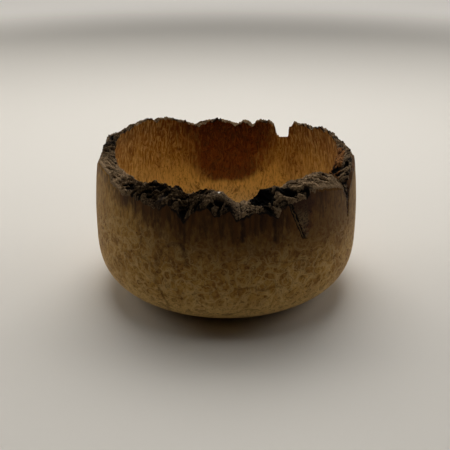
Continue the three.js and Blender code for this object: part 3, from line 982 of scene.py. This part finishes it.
def burl_figure(figure):
    """How marked the outside is with eyes and grain lines, and its golden bands and brown islands."""
    warped = figure.drifted(22, 14).drifted(5, 3)
    broad = abs(warped.noise(11, 1, 0.4) - 0.5)
    close = abs((warped + (70, 30, 10)).noise(5.6, 1, 0.4) - 0.5)
    golden = broad.step(0.055, 0.01).most(close.step(0.05, 0.01, 0, 0.85))
    lines = broad.folded(13).step(0.15, 0.02).most(close.folded(9).step(0.13, 0.02, 0, 0.8))
    marks = lines * warped.noise(4, 3).step(0.38, 0.6) * 0.85
    island = figure.drifted(9, 6).noise(10, 2, 0.45)
    grouped = island.step(0.4, 0.56, 0.38, 0)
    worn = figure.noise(2.2).step(0.36, 0.6, 0.25, 1)
    for size, radius, keep in ((4.4, 0.34, 0.5), (2.8, 0.3, 0.55)):
        distance, random, spread, _ = figure.drifted(5, 2.4).cells(size, 0.95)
        distance = (spread - 0.5) * 0.24 + distance
        present = (golden * -0.3 + random - grouped).step(0.75 - keep, 1 - keep)
        ring = abs(distance - radius).step(0.15, 0.02) * worn
        core = distance.step(0.14, 0.04, 0, 0.7)
        eye = ring.most(core).most(distance.step(0.5, 0.3, 0, 0.34))
        marks = marks.most(eye * present)
    distance, _, _, chosen = figure.cells(2.1)
    return marks.most(distance.step(0.2, 0.1) * chosen.step(0.62, 0.66)), golden, island


def inside_colour(s, figure, fibre_place, fibre, mottle, level):
    """The inside's colour: paler below and darker near the rim, partly painted bounced light and shade, with
    streaks, curls and rings, and the dark patch.
    """
    swirled = figure.drifted(13, 16)
    curl = (swirled * (1, 1, 0.42)).drifted(4, 4).noise(1.5, 3, 0.6)
    curled = figure.noise(9, 3).step(0.4, 0.56)
    swirl = abs(swirled.drifted(6, 5).noise(7, 1, 0.4) - 0.5)
    rings = swirl.folded(16).step(0.2, 0.04, 0, 0.4)
    patch = s.value("patch") + (fibre_place.noise(2.6, 3, 0.6) * 0.9 - 0.45)
    dark = s.paint(
        (88, 30, 3),
        (level.step(60, 92), (62, 17, 2)),
        (curl.step(0.48, 0.6, 0, 0.8), (38, 10, 1)),
        (curl.step(0.48, 0.36, 0, 0.6), (128, 58, 12)),
        (rings * 1.6, (136, 64, 16)),
    )
    return s.paint(
        (199, 157, 82),
        (mottle.step(0.35, 0.65), (166, 121, 52)),
        # Darker near the rim and paler below: partly the wood's colour, partly painted shade at the top and
        # painted bounced light below
        (level.step(66, 94, 0, 0.8), (122, 74, 24)),
        (level.step(78, 36), (240, 210, 146)),
        (curl.step(0.5, 0.36) * 0.45, (236, 202, 138)),
        (curl.step(0.51, 0.62) * curled * 0.7, (104, 60, 20)),
        (fibre.step(0.5, 0.36) * 0.42, (240, 206, 136)),
        (fibre.step(0.5, 0.66) * (curled * -0.4 + 0.62), (108, 62, 18)),
        (rings * curled, (110, 60, 20)),
        (patch.step(0, 1) * 0.9, dark),
    )


def wood_colour(s):
    """The burl's colour, how marked it is, and its fibres, inside and outside."""
    place = s.place()
    inside = s.value("inside")
    outside = inside * -1 + 1
    figure = s.value("figure", "Vector")
    drawn, level, flute = strokes(s, place)
    streaky = inside.most(level.step(60, 78))
    marks, golden, island = burl_figure(figure)
    calm = streaky * -0.65 + 1
    marks = marks * calm
    fibre_place = (figure * (1, 1, 0.34)).drifted(4, 2.6)
    fibre = fibre_place.noise(1.25, 3, 0.65)
    mottle = figure.noise(26, 3, 0.6)
    drip = fibre_place.noise(2.2, 3, 0.6)
    stain = (s.value("stain") + (drip * 1.9 - 0.95)).step(0, 0.95) * (inside * -0.4 + 0.88)
    flute_light_and_shade = stain * outside * 0.8
    under = s.value("under") + (drip - 0.5)
    color = s.paint(
        (166, 123, 56),
        (figure.noise(3.2, 3, 0.6).step(0.35, 0.65), (190, 148, 78)),
        (island.step(0.47, 0.6) * calm * 0.5, (138, 94, 38)),
        (golden * calm * 0.7, (206, 171, 108)),
        (mottle.step(0.42, 0.64) * 0.35, (142, 100, 42)),
        # Painted shade and darker wood on the upper front
        (s.value("tone") * 0.76, (78, 45, 7)),
        (level.step(34, 6, 0, 0.85), (232, 195, 126)),
        (marks * 0.72, (78, 44, 12)),
        (fibre.step(0.5, 0.64) * (streaky * 0.5 + 0.12), (56, 32, 12)),
        (place.noise(0.75, 2, 0.7).step(0.54, 0.7, 0, 0.35), (86, 56, 24)),
        (inside, inside_colour(s, figure, fibre_place, fibre, mottle, level)),
        (stain, (54, 27, 4)),
        # Painted light and shade of flutes under the lip, which the mesh doesn't have: lighter tongues and
        # thin dark lines between them
        (flute.step(0.05, 0.17, 0, 0.5) * flute_light_and_shade, (98, 60, 18)),
        (flute.step(0.025, 0.004, 0, 0.45) * flute_light_and_shade, (24, 12, 3)),
        # Painted shadow just under the bark's edge
        (under.step(0.3, 0.9) * outside, (14, 8, 4)),
    )
    return s.paint(color, (drawn * outside, (149, 134, 112)), way="MULTIPLY"), marks, fibre


def burl_material():
    """Burl wood: islands and eyes, streaks near the rim and inside, and stain under the bark, with painted
    shade on the upper front, painted light and shade of flutes, and a painted shadow line under the bark's
    edge.
    """
    s = Nodes(bpy.data.materials.new("burl_wood"))
    color, marks, fibre = wood_colour(s)
    return s.finish(color, marks * 0.12 + 0.55, 0.1, marks * -0.5 + fibre * 0.3, 0.25, 0.12)


def bark_material():
    """Weathered bark: dark in its crevices, partly painted shade, black in its hollows as painted shade,
    grey-brown on its ridges with painted highlights, rusty where newly broken.
    """
    s = Nodes(bpy.data.materials.new("bark"))
    place = s.place()
    openness = s.value("openness")
    pale = s.value("pale")
    grain = place.noise(1.25, 4, 0.7)
    patch = place.noise(6, 3, 0.6)
    grit = (place + (40, 10, 25)).noise(0.7, 2, 0.6)
    rusty = s.value("rusty") + (patch * 0.8 - 0.4)
    cut = s.value("cut") + (place.noise(1.6, 3, 0.6) * 1.6 - 0.8)
    depth = openness + (grain * 0.6 - 0.3)
    speck = spots(SPECK[0], RIM_INNER + WALL * SPECK[1], SPECK[2]).tolist()
    color = s.paint(
        (54, 40, 27),
        (pale + (patch * 1.2 - 0.6), (150, 124, 94)),
        # Pale grains, partly painted highlight on their tops, most where the bark is pale
        (grain.step(0.5, 0.62) * (pale * 0.5 + 0.3), (152, 132, 102)),
        # Painted highlight on the ridge tops
        (openness.step(0.82, 1, 0, 0.5) * grain.step(0.4, 0.56), (128, 104, 74)),
        (rusty.step(0.25, 0.75, 0, 0.9), (140, 90, 44)),
        (grit.step(0.5, 0.38, 0, 0.7), (30, 21, 14)),
        (cut.step(0.35, 0.65), wood_colour(s)[0]),
        # Dark in the crevices: partly the bark's own dark colour, partly painted shade
        (depth.step(0.75, 0.3, 0, 0.9), (18, 12, 8)),
        # Painted black shade in the hollows, the shaded spots and the deepest crevices
        (openness.step(0.16, 0.02), (8, 6, 4)),
        (place.gap(speck).step(0.85, 0.5), (236, 228, 212)),
    )
    return s.finish(color, 0.9, 0.1, grit * 0.5 + grain * 0.8, 0.8, 0.4)


def ingrown_material():
    """Ingrown bark: dark, close-grained, cut flush, and fading into stained wood."""
    s = Nodes(bpy.data.materials.new("ingrown_bark"))
    place = s.place()
    grain = place.noise(1, 4, 0.65)
    patch = place.noise(7, 3, 0.6)
    mixed = s.value("blended") + (patch * 1.2 - 0.6)
    color = s.paint(
        (80, 43, 15),
        (patch.step(0.44, 0.6), (112, 88, 58)),
        (grain.step(0.52, 0.4, 0, 0.85), (28, 14, 6)),
        (s.value("stain").step(0.2, 0.8, 0, 0.55), (42, 22, 8)),
        (mixed.step(0.3, 0.85), wood_colour(s)[0]),
        # Painted shade, near black, where the face is sunk in the seam and cracks
        (s.value("openness").step(0.85, 0.45), (8, 5, 3)),
        (s.value("seam") * 0.8, (120, 94, 56)),
    )
    return s.finish(color, 0.7, 0.15, grain, 0.3, 0.15)


def floor_material():
    """One plain pale colour; far from the lamps it is as pale as the world to the camera."""
    s = Nodes(bpy.data.materials.new("floor"))
    far = s.place().gap((0, 350, 0)).step(800, 1400)
    seen = s.node("LightPath").outputs["Is Camera Ray"]
    return s.surface(
        Base_Color=srgb(216, 212, 205),
        Roughness=0.8,
        Specular_IOR_Level=0.2,
        Emission_Color=srgb(*HORIZON),
        Emission_Strength=far * seen,
    )


def make_stage():
    """A pale floor that curves up into a backdrop far behind."""
    profile = [(-STAGE_HALF, 0), (BEND_START, 0)]
    for turn in np.linspace(0, math.pi / 2, 12)[1:]:
        rise = BEND_RADIUS - BEND_RADIUS * math.cos(turn)
        profile.append((BEND_START + BEND_RADIUS * math.sin(turn), rise))
    profile.append((BEND_START + BEND_RADIUS, BACKDROP_TOP))
    points = [(x, y, z) for y, z in profile for x in (-STAGE_HALF, STAGE_HALF)]
    faces = [(2 * i, 2 * i + 1, 2 * i + 3, 2 * i + 2) for i in range(len(profile) - 1)]
    mesh = new_mesh("floor", points, faces)
    mesh.shade_smooth()
    mesh.materials.append(floor_material())
    floor = new_object("floor", mesh)


def make_light():
    """Soft light from above, behind and both sides."""
    s = Nodes(bpy.data.worlds.new("studio"))
    glow = s.node("Background", {"Color": (1, 0.98, 0.95, 1), "Strength": 0.002})
    shown = s.node("Background", {"Color": srgb(*HORIZON)})
    seen = s.node("LightPath").outputs["Is Camera Ray"]
    mix = s.node("MixShader", {0: seen, 1: glow.outputs[0], 2: shown.outputs[0]})
    s.node("OutputWorld", {"Surface": mix.outputs[0]})
    bpy.context.scene.world = s.owner
    for name, (place, width, length, power, color) in LAMPS.items():
        data = bpy.data.lights.new(name, "AREA")
        data.shape = "RECTANGLE"
        data.size = width
        data.size_y = length
        data.energy = power
        data.color = color
        lamp = new_object(name, data)
        lamp.location = place
        lamp.rotation_mode = "QUATERNION"
        away = np.array(place) - np.array(LAMP_TARGET)
        lamp.rotation_quaternion = Vector(away.tolist()).to_track_quat("Z", "Y")


def make_camera():
    """The photograph's viewpoint."""
    data = bpy.data.cameras.new("camera")
    data.sensor_fit = "HORIZONTAL"
    data.sensor_width = 36
    data.lens = CAMERA_LENS
    data.clip_start = 0.01
    camera = new_object("camera", data)
    camera.location = CAMERA_PLACE
    camera.rotation_euler = [math.radians(turn) for turn in CAMERA_TURN]
    bpy.context.scene.camera = camera


make_camera()
make_stage()
make_light()
bpy.context.scene.view_settings.view_transform = "Standard"
burl = burl_material()
bark = bark_material()
ingrown = ingrown_material()
wood = make_wood(burl)
for patch in INGROWN:
    make_ingrown(patch, wood, ingrown)
wood_values(wood.data)
for (name, start), (_, stop) in zip(PLATES, PLATES[1:] + PLATES[:1]):
    make_plate(name, start, stop, bark)
